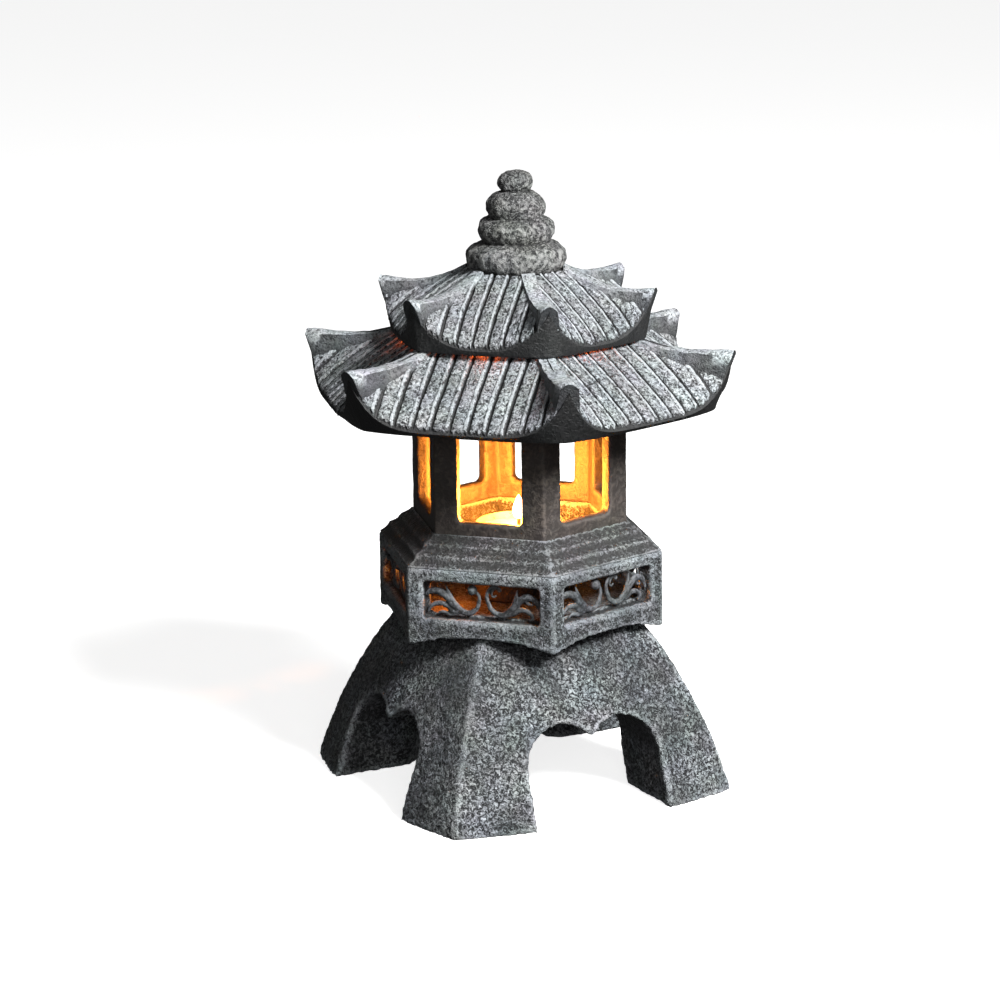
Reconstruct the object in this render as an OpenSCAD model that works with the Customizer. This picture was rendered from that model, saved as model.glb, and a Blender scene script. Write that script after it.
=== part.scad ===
// Cast stone pagoda lantern for a tealight: arched foot, pierced hexagonal platform,
// open fire box, two boarded roofs and a ringed finial, stacked along +Z.
// The origin is the middle of the footprint, on the ground. A flat faces -Y.

/* [Base] */
// Height of the table that carries the platform
table_z = 76; // [72:1:78]
// Radius of each of the four domed faces of the foot
dome_r = 220.2; // [216:0.1:224]
// How far behind the axis each domed face is centred
dome_back = 134; // [131:1:136]
// How far below the ground each domed face is centred
dome_drop = 56; // [54:1:58]
// Radius of each of the two lobes of a leg arch
lobe_r = 18; // [15:0.5:19]
// Sideways place of each lobe's centre
lobe_x = 14; // [12:0.5:15]
// Height of each lobe's centre
lobe_z = 23; // [20:1:26]

/* [Platform] */
// Corner radius of the platform
platform_r = 65.2; // [63:0.1:67]
// Top of the platform
platform_top = 106.3; // [105:0.1:108]
// Lowest point of its corners
platform_low = 72.2; // [71:0.1:73]
// Width of each framed opening
panel_w = 52; // [46:0.5:54]
// Height of each framed opening
panel_h = 16.4; // [14:0.1:17]
// Middle height of the openings
panel_z = 92.6; // [91:0.1:94]

/* [Fire box] */
// Corner radius of the fire box
fire_r = 49; // [47.5:0.1:50]
// Inner corner radius of the fire box
fire_inner_r = 42.7; // [41:0.1:43]
// Top of the fire box
fire_top = 172; // [171:0.1:174]
// Width of a window
window_w = 28.8; // [24:0.1:30]
// Height of the window sills
sill_z = 123.8; // [122:0.1:126]
// Height of the window heads
head_z = 165; // [160:0.5:166]

/* [Roofs] */
// Corner radius of the lower roof
lower_roof_r = 95.8; // [92:0.1:98]
// Corner radius of the upper roof
upper_roof_r = 61.3; // [60:0.1:64]
// Rise of the lower horns above the middle of the eaves
lower_horn = 20.9; // [16:0.1:22]
// Rise of the upper horns above the middle of the eaves
upper_horn = 17; // [13:0.1:18]

/* [Finial] */
// Radius of the largest ring
finial_r = 21.7; // [20:0.1:23]
// Height of the whole lantern
top_z = 270; // [268:0.5:272]

/* [Candle] */
// Outer radius of the tealight cup
cup_r = 19; // [18:0.1:19.5]
// Height of the tealight cup
cup_h = 15; // [12:0.5:16]

/* [Hidden] */

stone = "#7b8085";
dark_stone = "#4c4a48";
roof_stone = "#9a9da0";
$fn = 96;

faces = 6;
face_step = 360 / faces;
flat = cos(180 / faces);        // middle of a side, for a corner radius of 1
through = 400;                  // longer than anything it cuts
skin = 0.01;                    // lets a cut pass its face

// base
tenon_r = 20;
tenon_h = 4;
hollow_foot_r = 50;
hollow_top_r = 36;
hollow_h = 58;
slab_w = 260;                   // wider than the foot

// platform
floor_z = table_z + 8;
cavity_r = 56.6;
table_clear_r = 59.5;
arch_half = 32.4;
arch_rise = 4.6;
arch_r = (arch_half * arch_half + arch_rise * arch_rise) / (2 * arch_rise);
arch_depth = 9;
panel_recess = 2.5;
panel_t = 3;
panel_lip = 1.6;
socket_gap = 0.15;
socket_extra_h = 0.2;
panel_gap = 0.1;
panel_rim = 1.5;
panel_bar_w = 2.4;
bud_r = 2;

// stepped collar, from the platform up to the fire box
collar_steps = [[65.2, 106.3], [61.4, 108.9], [60.4, 110.9], [56.4, 112.9],
    [55.1, 114.9], [50.6, 117.4], [49.6, 118.7]];
collar_top = 118.7;
fire_foot_z = 115.5;
fire_seat_gap = 0.2;
collar_skirt_h = 3;

// fire box
window_round_r = 2.4;
seat_clear = 0.5;

// roofs, each bent by [eave height, bend of the slope, start of the horns, rise of the
// horns, how fast they grow outwards, how sharply they rise towards the corners]
lower_eave_z = 172.5;
lower_crown_z = 203;
lower_crown_a = 38;
lower_flat_a = 29;
lower_bend = [lower_eave_z, 0.85, 45, lower_horn, 1.6, 5];
lower_soffit_z = 170;
lower_soffit_a = 76.6;
hollow_a = 25;
hollow_z = 198;
flue_a = 19.5;
vent_z = board_z(lower_flat_a, lower_roof_r * flat, lower_crown_a, lower_eave_z, lower_crown_z, lower_bend[1]);
upper_eave_z = 202;
upper_crown_z = 227;
upper_crown_a = 20;
upper_bend = [upper_eave_z, 0.78, 22, upper_horn, 2.2, 2.8];
upper_soffit_z = 199.5;
upper_soffit_a = 50.8;
upper_seat_z = 217;
vent_r = 27;
vent_bore_r = 22;
vent_slots = 8;
vent_slot = [20, 12, 5.2];      // how deep it cuts, how wide and how tall
roof_clear = 0.3;
peg_r = 8;
soffit_step = 2;

// finial: the rings as [radius, foot, height], then the ball on its neck
rings = [[finial_r, upper_crown_z, 11.4], [16.8, 238, 11.6], [12.8, 249.2, 12]];
ball_r = 7.4;
ball_flat = 0.4;                // taken off its top and bottom
neck_r = 6.6;
neck_z = 259;
neck_h = 4;

// candle
stand_r = 24;
stand_z = 101.5;
seat_z = 100;
cup_wall = 0.5;
wax_h = 11.5;
wick_r = 0.8;
wick_top = 118;
tab_r = 6;
tab_t = 0.4;

// Height of a roof's boards: q bends the slope, u runs from the eave to the crown
function board_z(a, eave_a, crown_a, eave_z, crown_z, q) =
    eave_z + (crown_z - eave_z) * pow(max(0, (eave_a - a) / (eave_a - crown_a)), q);

// Rise towards a hip: a is the distance from the axis, t runs from -1 to 1 along a side
function horn_z(a, t, eave_a, start_a, horn, grow, sharp) =
    horn * pow(max(0, (a - start_a) / (eave_a - start_a)), grow) * pow(abs(t), sharp);

// Place on a hexagon's side: a from the axis, t along the side, k the side's number
function on_side(a, t, k) =
    let (turn = k * face_step - 90, along = t * a * tan(180 / faces))
    [a * cos(turn) - along * sin(turn), a * sin(turn) + along * cos(turn)];

// Point at fraction t of a bend from p to r past q
function bend(p, q, r, t) = (1 - t) * (1 - t) * p + 2 * t * (1 - t) * q + t * t * r;

// Direction across a bend at fraction t
function across(p, q, r, t) =
    let (d = (1 - t) * (q - p) + t * (r - q))
    [-d[1], d[0]] / norm(d);

module hex_prism(r, low, high) {
    translate([0, 0, low]) cylinder(r = r, h = high - low, $fn = faces);
}

module each_side() {
    for (k = [0 : faces - 1]) rotate([0, 0, k * face_step]) children();
}

// Stands a flat outline up on the side that faces -Y, d outwards from the axis
module stand_up(d, thick) {
    translate([0, -d, 0]) rotate([90, 0, 0]) linear_extrude(thick) children();
}

// A closed shell with a hexagonal eave: boards above, then the hexagonal rings of its
// underside, each [distance from the axis, height], from the eave in to the opening
module roof_shell(eave_a, flat_a, crown, bent, under) {
    rows = 6;
    cols = 10;
    ring = faces * cols;
    top = [for (j = [0 : rows], k = [0 : faces - 1], i = [0 : cols - 1])
        let (a = flat_a + (eave_a - flat_a) * j / rows,
            t = 2 * i / cols - 1,
            p = on_side(a, t, k))
        [p[0], p[1],
            board_z(a, eave_a, crown[0], bent[0], crown[1], bent[1])
            + horn_z(a, t, eave_a, bent[2], bent[3], bent[4], bent[5])]];
    low = [for (u = under, k = [0 : faces - 1], i = [0 : cols - 1])
        let (p = on_side(u[0], 2 * i / cols - 1, k)) [p[0], p[1], u[1]]];
    rings = rows + 1 + len(under);
    polyhedron(concat(top, low), [for (j = [0 : rings - 1], i = [0 : ring - 1])
        let (n = (i + 1) % ring, m = (j + 1) % rings)
        each [[j * ring + i, m * ring + i, j * ring + n], [j * ring + n, m * ring + i, m * ring + n]]]);
}

module leg_arch() {
    union() {
        for (side = [-1, 1]) translate([side * lobe_x, lobe_z]) circle(lobe_r);
        translate([-lobe_x - lobe_r, -1]) square([2 * (lobe_x + lobe_r), lobe_z + 1]);
    }
}

module base() {
    color(stone) difference() {
        union() {
            intersection() {
                translate([0, 0, table_z / 2]) cube([slab_w, slab_w, table_z], center = true);
                domed_face(0);
                domed_face(1);
                domed_face(2);
                domed_face(3);
            }
            translate([0, 0, table_z - 1]) cylinder(r = tenon_r, h = tenon_h + 1);
        }
        translate([0, 0, -skin]) cylinder(r1 = hollow_foot_r, r2 = hollow_top_r, h = hollow_h);
        for (turn = [45, 135]) rotate([0, 0, turn])
            translate([0, through / 2, 0]) rotate([90, 0, 0]) linear_extrude(through) leg_arch();
    }
}

module domed_face(k) {
    rotate([0, 0, 45 + 90 * k]) translate([-dome_back, 0, -dome_drop]) sphere(dome_r, $fn = 180);
}

module platform() {
    color(stone) difference() {
        hex_prism(platform_r, platform_low, platform_top);
        translate([0, 0, platform_low - 1]) cylinder(r = table_clear_r, h = table_z - platform_low + 1);
        translate([0, 0, table_z - 1]) cylinder(r = tenon_r + socket_gap, h = tenon_h + 1 + socket_extra_h);
        hex_prism(cavity_r, floor_z, platform_top + 1);
        each_side() {
            translate([0, -platform_r * flat + arch_depth, platform_low + arch_rise - arch_r])
                rotate([90, 0, 0]) cylinder(r = arch_r, h = 2 * arch_depth, $fn = 360);
            translate([0, -platform_r, panel_z])
                cube([panel_w, 2 * (platform_r * (1 - flat) + panel_recess + panel_t), panel_h], center = true);
            translate([0, -platform_r, panel_z])
                cube([panel_w - 2 * panel_lip, 2 * (platform_r - cavity_r * flat + 1), panel_h - 2 * panel_lip], center = true);
        }
    }
}

// A stroke that bends from p to r past q, its width going from w0 to w1
module stroke(p, q, r, w0, w1) {
    n = 8;
    edge = [for (i = [0 : n]) let (t = i / n) [bend(p, q, r, t), across(p, q, r, t) * (w0 + (w1 - w0) * t) / 2]];
    polygon(concat([for (e = edge) e[0] + e[1]], [for (i = [n : -1 : 0]) edge[i][0] - edge[i][1]]));
}

// One stroke of a scroll as a solid of its own
module bar(p, q, r, w0, w1) {
    linear_extrude(panel_t - panel_gap) stroke(p, q, r, w0, w1);
}

// One leaf scroll: a C curve with a bud at its inner end and three lobes at its outer end
module leaf_scroll() {
    bar([4.4, 5.6], [0.4, 4.6], [1.6, 0], 1.8, 2.2);
    bar([1.5, 1], [1.8, -4.6], [7, -5], 2.2, 2.6);
    bar([5.8, -5], [11.4, -5], [12.4, -1.6], 2.6, 3);
    translate([4.4, 4.9, 0]) cylinder(r = bud_r, h = panel_t - panel_gap);
    bar([11.8, -2.8], [13.4, 3], [15.6, 7.4], 3, 1.4);
    bar([10.6, -3.4], [17, 4.4], [25.2, 2.6], 4, 2);
    bar([8.4, -4.6], [15, -1.5], [18.2, -7.4], 3.4, 1.4);
    bar([11, -2.6], [20, 0.4], [25.2, -5.2], 2.8, 1.6);
}

module scroll_panel() {
    w = panel_w - 2 * panel_gap;
    h = panel_h - 2 * panel_gap;
    depth = panel_t - panel_gap;
    color(dark_stone) translate([0, -platform_r * flat + panel_recess + panel_t - panel_gap, panel_z])
        rotate([90, 0, 0]) union() {
            difference() {
                translate([-w / 2, -h / 2, 0]) cube([w, h, depth]);
                translate([-w / 2 + panel_rim, -h / 2 + panel_rim, -1])
                    cube([w - 2 * panel_rim, h - 2 * panel_rim, depth + 2]);
            }
            translate([-panel_bar_w / 2, -h / 2 + panel_rim / 2, 0]) cube([panel_bar_w, h - panel_rim, depth]);
            leaf_scroll();
            mirror([1, 0, 0]) leaf_scroll();
        }
}

module stepped_collar() {
    color(stone) difference() {
        union() {
            for (i = [0 : len(collar_steps) - 2])
                translate([0, 0, collar_steps[i][1]])
                    cylinder(r1 = collar_steps[i][0], r2 = collar_steps[i + 1][0],
                        h = collar_steps[i + 1][1] - collar_steps[i][1], $fn = faces);
            hex_prism(cavity_r - socket_gap, platform_top - collar_skirt_h, platform_top);
        }
        hex_prism(fire_inner_r, platform_top - collar_skirt_h - 1, collar_top + 1);
        hex_prism(fire_r + fire_seat_gap, fire_foot_z, collar_top + 1);
    }
}

module window_outline() {
    round_r = window_round_r;
    union() {
        translate([-window_w / 2, sill_z + round_r]) square([window_w, head_z - sill_z - round_r]);
        translate([-window_w / 2 + round_r, sill_z]) square([window_w - 2 * round_r, round_r + 1]);
        for (side = [-1, 1]) translate([side * (window_w / 2 - round_r), sill_z + round_r]) circle(round_r);
    }
}

module fire_box() {
    color(dark_stone) difference() {
        hex_prism(fire_r, fire_foot_z, fire_top);
        hex_prism(fire_inner_r, fire_foot_z - 1, fire_top + 1);
        each_side() stand_up(fire_inner_r * flat - 4, 14) window_outline();
    }
}

module candle_stand() {
    color(dark_stone) difference() {
        translate([0, 0, floor_z]) cylinder(r = stand_r, h = stand_z - floor_z);
        translate([0, 0, seat_z]) cylinder(r = cup_r + seat_clear, h = stand_z - seat_z + 1);
    }
}

module candle_cup() {
    color("silver") difference() {
        translate([0, 0, seat_z]) cylinder(r = cup_r, h = cup_h);
        translate([0, 0, seat_z + cup_wall]) cylinder(r = cup_r - cup_wall, h = cup_h);
    }
}

module candle_wax() {
    color("ivory") difference() {
        translate([0, 0, seat_z + cup_wall]) cylinder(r = cup_r - cup_wall, h = wax_h);
        translate([0, 0, seat_z + cup_wall - 1]) cylinder(r = tab_r, h = tab_t + 1);
        translate([0, 0, seat_z]) cylinder(r = wick_r, h = wax_h + 2);
    }
}

module candle_wick() {
    color("#2a2522") translate([0, 0, seat_z + cup_wall + tab_t])
        cylinder(r = wick_r, h = wick_top - seat_z - cup_wall - tab_t);
}

module wick_tab() {
    color("silver") translate([0, 0, seat_z + cup_wall]) cylinder(r = tab_r, h = tab_t);
}

module lower_roof() {
    seat_a = (fire_r + roof_clear) * flat;
    color(roof_stone) roof_shell(lower_roof_r * flat, lower_flat_a, [lower_crown_a, lower_crown_z],
        lower_bend, [[lower_soffit_a, lower_soffit_z], [seat_a, lower_soffit_z], [seat_a, fire_top],
            [fire_inner_r * flat, fire_top], [hollow_a, hollow_z], [flue_a, hollow_z], [flue_a, vent_z]]);
}

module vent_collar() {
    color(dark_stone) difference() {
        translate([0, 0, vent_z]) cylinder(r = vent_r, h = upper_seat_z - vent_z);
        translate([0, 0, vent_z - 1]) cylinder(r = vent_bore_r, h = upper_seat_z - vent_z + 2);
        for (k = [0 : vent_slots - 1]) rotate([0, 0, (k + 0.5) * 360 / vent_slots])
            translate([vent_r, 0, (vent_z + upper_seat_z) / 2]) cube(vent_slot, center = true);
    }
}

module upper_roof() {
    color(roof_stone) roof_shell(upper_roof_r * flat, upper_crown_a, [upper_crown_a, upper_crown_z],
        upper_bend, [[upper_soffit_a, upper_soffit_z], [upper_soffit_a - soffit_step, upper_soffit_z], [vent_r + 1, upper_seat_z],
            [(peg_r + socket_gap) * flat, upper_seat_z], [(peg_r + socket_gap) * flat, upper_crown_z]]);
}

// A disc with a round rim, r wide and h tall, standing at z
module ring_stone(r, z, h) {
    translate([0, 0, z]) cylinder(r = r - h / 2, h = h);
    translate([0, 0, z + h / 2]) rotate_extrude() translate([r - h / 2, 0]) circle(h / 2, $fn = 48);
}

module finial() {
    color(stone) union() {
        for (ring = rings) ring_stone(ring[0], ring[1], ring[2]);
        translate([0, 0, neck_z]) cylinder(r = neck_r, h = neck_h);
        translate([0, 0, top_z - ball_r + ball_flat]) intersection() {
            sphere(ball_r);
            cube([4 * ball_r, 4 * ball_r, 2 * (ball_r - ball_flat)], center = true);
        }
        hex_prism(peg_r, upper_seat_z + 1, upper_crown_z + 1);
    }
}

base();
platform();
scroll_panel();  // scroll_panel_front
rotate([0, 0, face_step]) scroll_panel();  // scroll_panel_front_right
rotate([0, 0, 2 * face_step]) scroll_panel();  // scroll_panel_back_right
rotate([0, 0, 3 * face_step]) scroll_panel();  // scroll_panel_back
rotate([0, 0, 4 * face_step]) scroll_panel();  // scroll_panel_back_left
rotate([0, 0, 5 * face_step]) scroll_panel();  // scroll_panel_front_left
stepped_collar();
fire_box();
candle_stand();
candle_cup();
candle_wax();
candle_wick();
wick_tab();
lower_roof();
vent_collar();
upper_roof();
finial();
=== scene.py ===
# %% [markdown]
# # A cast stone pagoda lantern
# The lantern is a stack of castings: an arched foot, a hexagonal platform with pierced scroll
# panels, a stepped collar, an open fire box, two boarded roofs and a ringed finial. The packed
# model holds every size. This script dresses that frame: it copies the stone solids and rounds
# and pits them as a rubber mould would, and builds the boards, horns and scrolls as new meshes.

# %% Load the fixed frame
import bpy
import math
import numpy as np
from mathutils import Matrix, Vector, noise


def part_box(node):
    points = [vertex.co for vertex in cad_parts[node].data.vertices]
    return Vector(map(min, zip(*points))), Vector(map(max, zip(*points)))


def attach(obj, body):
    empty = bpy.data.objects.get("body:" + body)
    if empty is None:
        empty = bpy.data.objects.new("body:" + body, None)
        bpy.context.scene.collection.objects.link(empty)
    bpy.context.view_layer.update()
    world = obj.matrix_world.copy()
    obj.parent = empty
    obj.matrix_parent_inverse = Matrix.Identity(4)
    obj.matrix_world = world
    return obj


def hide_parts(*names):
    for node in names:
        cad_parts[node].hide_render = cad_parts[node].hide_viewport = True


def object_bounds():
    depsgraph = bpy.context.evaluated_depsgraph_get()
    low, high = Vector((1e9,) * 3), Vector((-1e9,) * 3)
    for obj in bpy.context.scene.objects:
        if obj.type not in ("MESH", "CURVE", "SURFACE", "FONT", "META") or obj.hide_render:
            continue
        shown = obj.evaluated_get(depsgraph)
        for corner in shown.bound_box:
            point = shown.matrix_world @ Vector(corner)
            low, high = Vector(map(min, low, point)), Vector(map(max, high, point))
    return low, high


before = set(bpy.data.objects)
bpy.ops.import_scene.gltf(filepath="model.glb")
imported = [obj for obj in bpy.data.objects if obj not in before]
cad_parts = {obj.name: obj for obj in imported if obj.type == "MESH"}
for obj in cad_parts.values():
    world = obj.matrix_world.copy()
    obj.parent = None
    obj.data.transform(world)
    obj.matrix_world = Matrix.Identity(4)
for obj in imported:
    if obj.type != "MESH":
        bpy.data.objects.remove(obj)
cad_low, cad_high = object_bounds()
MM = 0.001
SIDES = 6
TURN = 2 * math.pi / SIDES
FLAT = math.cos(math.pi / SIDES)
print("CAD box", [round(v, 4) for v in cad_low], [round(v, 4) for v in cad_high])

# %% [markdown]
# ## The camera first
# The lantern is seen from a little above and from its right, through a long lens, so the
# uprights stay parallel. The small shift keeps the lantern a little off the middle of the frame.

# %% Camera direction
AZIMUTH = math.radians(17.29)
ELEVATION = math.radians(13.77)
ROLL = math.radians(-0.58)
DISTANCE = 1.543
MIDDLE_Z = (cad_high[2] - cad_low[2]) / 2
back = Vector((math.sin(AZIMUTH) * math.cos(ELEVATION),
               -math.cos(AZIMUTH) * math.cos(ELEVATION), math.sin(ELEVATION)))
level = (-back).cross(Vector((0, 0, 1))).normalized()
rise = level.cross(-back)
right = math.cos(ROLL) * level + math.sin(ROLL) * rise
up = math.cos(ROLL) * rise - math.sin(ROLL) * level
print("camera looks along", [round(-v, 3) for v in back])

# %% Camera
camera = bpy.data.objects.new("camera", bpy.data.cameras.new("camera"))
bpy.context.scene.collection.objects.link(camera)
camera.matrix_world = Matrix((
    (right.x, up.x, back.x, 0), (right.y, up.y, back.y, 0), (right.z, up.z, back.z, 0), (0, 0, 0, 1)))
camera.location = Vector((0, 0, MIDDLE_Z)) + back * DISTANCE
camera.data.lens = 127.2
camera.data.shift_x = -0.0185
camera.data.shift_y = -0.0232
bpy.context.scene.camera = camera
bpy.context.scene.view_settings.view_transform = "Standard"
print("camera at", [round(v, 3) for v in camera.location])


# %% [markdown]
# ## Helpers for modelling
# Everything starts with a clean selection, because an operator acts on all that is selected, and
# the frame's solids are selected once they are loaded. A copy of a solid comes as loose
# triangles, so it is welded before anything else.

# %% Clean selection
def start_clean():
    if bpy.context.object and bpy.context.object.mode != "OBJECT":
        bpy.ops.object.mode_set(mode="OBJECT")
    bpy.ops.object.select_all(action="DESELECT")


def pick(piece):
    start_clean()
    piece.select_set(True)
    bpy.context.view_layer.objects.active = piece
    return piece


# %% Weld and copy
WELD_GAP = 1e-6


def weld(piece, outwards=True):
    pick(piece)
    bpy.ops.object.mode_set(mode="EDIT")
    bpy.ops.mesh.select_all(action="SELECT")
    bpy.ops.mesh.remove_doubles(threshold=WELD_GAP)
    if outwards:
        bpy.ops.mesh.normals_make_consistent(inside=False)
    bpy.ops.object.mode_set(mode="OBJECT")
    return piece


def copy_of_node(node, name):
    piece = bpy.data.objects.new(name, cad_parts[node].data.copy())
    bpy.context.scene.collection.objects.link(piece)
    piece.data.materials.clear()
    return weld(piece, outwards=False)


# %% Modifiers and shading
def modify(piece, kind, **settings):
    pick(piece)
    changer = piece.modifiers.new(kind.lower(), kind)
    for key, value in settings.items():
        setattr(changer, key, value)
    bpy.ops.object.modifier_apply(modifier=changer.name)
    return piece


def soft_shade(piece, degrees):
    pick(piece)
    bpy.ops.object.shade_smooth_by_angle(angle=math.radians(degrees))
    return piece


# %% [markdown]
# ## How a casting gets its skin
# A mould rounds every edge and leaves a pitted skin. A copy of the solid is remeshed evenly,
# smoothed until its edges are round, and pushed in and out by two sizes of cloud pattern. The
# share by which each point stands above its neighbours is kept as "wear": a dry brush of pale
# paint catches just those edges, and misses the hollows.

# %% Cloud patterns
def cloud(name, size_mm):
    pattern = bpy.data.textures.new(name, "CLOUDS")
    pattern.noise_scale = size_mm * MM
    return pattern


COARSE_CLOUD = cloud("coarse lumps", 9)
FINE_CLOUD = cloud("stipple", 2.2)
FINE_CLOUD.noise_depth = 1
print("lumps", round(COARSE_CLOUD.noise_scale, 4), "stipple", round(FINE_CLOUD.noise_scale, 4))


# %% Wear
WORN_LIFT = 0.05 * MM
SPREADS = 3


def note_wear(piece, reach=1.0):
    mesh = piece.data
    count = len(mesh.vertices)
    places = np.empty(count * 3)
    normals = np.empty(count * 3)
    ends = np.empty(len(mesh.edges) * 2, dtype=np.int64)
    mesh.vertices.foreach_get("co", places)
    mesh.vertices.foreach_get("normal", normals)
    mesh.edges.foreach_get("vertices", ends)
    places, normals, ends = places.reshape(-1, 3), normals.reshape(-1, 3), ends.reshape(-1, 2)
    total = np.zeros((count, 3))
    links = np.zeros(count)
    for one, other in ((0, 1), (1, 0)):
        np.add.at(total, ends[:, one], places[ends[:, other]])
        np.add.at(links, ends[:, one], 1)
    lift = ((places - total / np.maximum(links, 1)[:, None]) * normals).sum(1)
    for _ in range(SPREADS):
        spread = np.zeros(count)
        for one, other in ((0, 1), (1, 0)):
            np.add.at(spread, ends[:, one], lift[ends[:, other]])
        lift = 0.5 * lift + 0.5 * spread / np.maximum(links, 1)
    layer = mesh.attributes.new("wear", "FLOAT", "POINT")
    layer.data.foreach_set("value", np.clip(lift / (WORN_LIFT * reach), -1, 1).astype(np.float32))
    return piece


# %% Casting
def cast(piece, cell_mm, rounding, coarse_mm, fine_mm):
    modify(piece, "REMESH", mode="VOXEL", voxel_size=cell_mm * MM)
    modify(piece, "SMOOTH", factor=0.5, iterations=rounding)
    note_wear(piece)
    modify(piece, "DISPLACE", texture=COARSE_CLOUD, texture_coords="LOCAL", strength=coarse_mm * MM)
    modify(piece, "DISPLACE", texture=FINE_CLOUD, texture_coords="LOCAL", strength=fine_mm * MM)
    soft_shade(piece, 60)
    print(piece.name, len(piece.data.polygons), "faces")
    return piece


# %% [markdown]
# ## Cast stone as a material
# The castings are dark all through and were dry-brushed with pale grey once they had cured. To
# the eye that is a dark stone whose raised grain and worn edges are light, with faint blue, green
# and violet drifts in it. Real grit is under a millimetre, too fine to show, so it is drawn at
# about 1.3 mm. Stone has an IOR near 1.5 and no metal in it.
#
# One function adds every node. On a colour mix the amount is input 0, the two colours are inputs
# 6 and 7, and the mixed colour is output 2.

# %% Nodes
def linear(hex_colour):
    parts = [int(hex_colour[i:i + 2], 16) / 255 for i in (1, 3, 5)]
    return [p / 12.92 if p <= 0.04045 else ((p + 0.055) / 1.055) ** 2.4 for p in parts] + [1]


def add_node(tree, kind, feeds=None, out=None, **settings):
    made = tree.nodes.new(kind)
    for key, value in settings.items():
        setattr(made, key, value)
    for key, value in (feeds or {}).items():
        if isinstance(value, bpy.types.NodeSocket):
            tree.links.new(value, made.inputs[key])
        else:
            made.inputs[key].default_value = value
    return made if out is None else made.outputs[out]


def new_material(name):
    material = bpy.data.materials.new(name)
    material.use_nodes = True
    tree = material.node_tree
    tree.nodes.clear()
    where = add_node(tree, "ShaderNodeTexCoord", out="Object")
    shader = add_node(tree, "ShaderNodeBsdfPrincipled", {"IOR": 1.5})
    add_node(tree, "ShaderNodeOutputMaterial", {"Surface": shader.outputs["BSDF"]})
    return material, tree, where, shader


# %% [markdown]
# ### How much pale paint
# The brush catches the top of the grain, more of it where the stone is worn, and less in broad
# patches where the brush was nearly dry. It misses the hollows; in the grooves between boards that
# darkness is also painted shade. On the roofs it came from above, so faces that don't look up stay
# dark; that darkness is also painted shade.

# %% Brushed paint
PATCH_MM = 26
UNBRUSHED_AND_SHADED_HOLLOW = 0.1


def brushed(tree, where, worn, grain, cover, edge, thinnest, brush_and_shade_from_above):
    patch = add_node(tree, "ShaderNodeTexNoise", {
        "Vector": where, "Scale": 1 / (PATCH_MM * MM), "Detail": 3.0, "Roughness": 0.6}, out="Fac")
    extra = add_node(tree, "ShaderNodeMapRange", {
        "Value": worn, "From Min": 0.15, "From Max": 0.9, "To Max": 0.3 * edge}, out="Result")
    reach = add_node(tree, "ShaderNodeMath", {0: extra, 1: grain}, out=0, operation="ADD", use_clamp=True)
    raised = add_node(tree, "ShaderNodeMapRange", {
        "Value": reach, "From Min": 0.62 - 0.3 * cover, "From Max": 0.84 - 0.3 * cover}, out="Result")
    thin = add_node(tree, "ShaderNodeMapRange", {
        "Value": patch, "From Min": 0.35, "From Max": 0.65, "To Min": thinnest}, out="Result")
    # Hollows get the least paint. On the boards the hollows are the grooves, and their darkness there is
    # painted shade.
    missed_hollow_and_shade = add_node(tree, "ShaderNodeMapRange", {
        "Value": worn, "From Min": -0.35, "From Max": -0.03, "To Min": UNBRUSHED_AND_SHADED_HOLLOW}, out="Result")
    limits = [thin, missed_hollow_and_shade]
    # Painted shade: faces that don't look up get less pale paint and stay dark.
    if brush_and_shade_from_above:
        facing = add_node(tree, "ShaderNodeNewGeometry", out="Normal")
        upness = add_node(tree, "ShaderNodeSeparateXYZ", {"Vector": facing}, out="Z")
        limits.append(add_node(tree, "ShaderNodeMapRange", {
            "Value": upness, "From Min": 0.05, "From Max": 0.45, "To Min": 1 - brush_and_shade_from_above}, out="Result"))
    for limit in limits:
        raised = add_node(tree, "ShaderNodeMath", {0: raised, 1: limit}, out=0, operation="MULTIPLY")
    return raised


# %% [markdown]
# ### Pits and battens
# Air bubbles leave small round pits with dark bottoms. The brush rides on the battens, so they
# are nearly plain paint with no pits; their pale is also a painted highlight.

# %% Pits
PIT_MM = 2.0


def pit_darkness(tree, where, worn, pits):
    cells = add_node(tree, "ShaderNodeTexVoronoi", {
        "Vector": where, "Scale": 1 / (PIT_MM * MM)}, out="Distance")
    rim = add_node(tree, "ShaderNodeMapRange", {
        "Value": cells, "From Min": 0.15, "From Max": 0.4}, out="Result")
    dent = add_node(tree, "ShaderNodeMath", {0: 1.0, 1: rim}, out=0, operation="SUBTRACT")
    share = add_node(tree, "ShaderNodeMapRange", {
        "Value": worn, "From Min": 0.2, "From Max": 0.6, "To Min": pits, "To Max": 0.0}, out="Result")
    return add_node(tree, "ShaderNodeMath", {0: dent, 1: share}, out=0, operation="MULTIPLY")


# %% [markdown]
# ### One function for every casting
# What differs is how pale the brush was, how much of the grain it caught, the size of the grain
# and how deep it is.

# %% Cast stone
DUST_MM = 0.5
DRIFT_MM = 14


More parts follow.
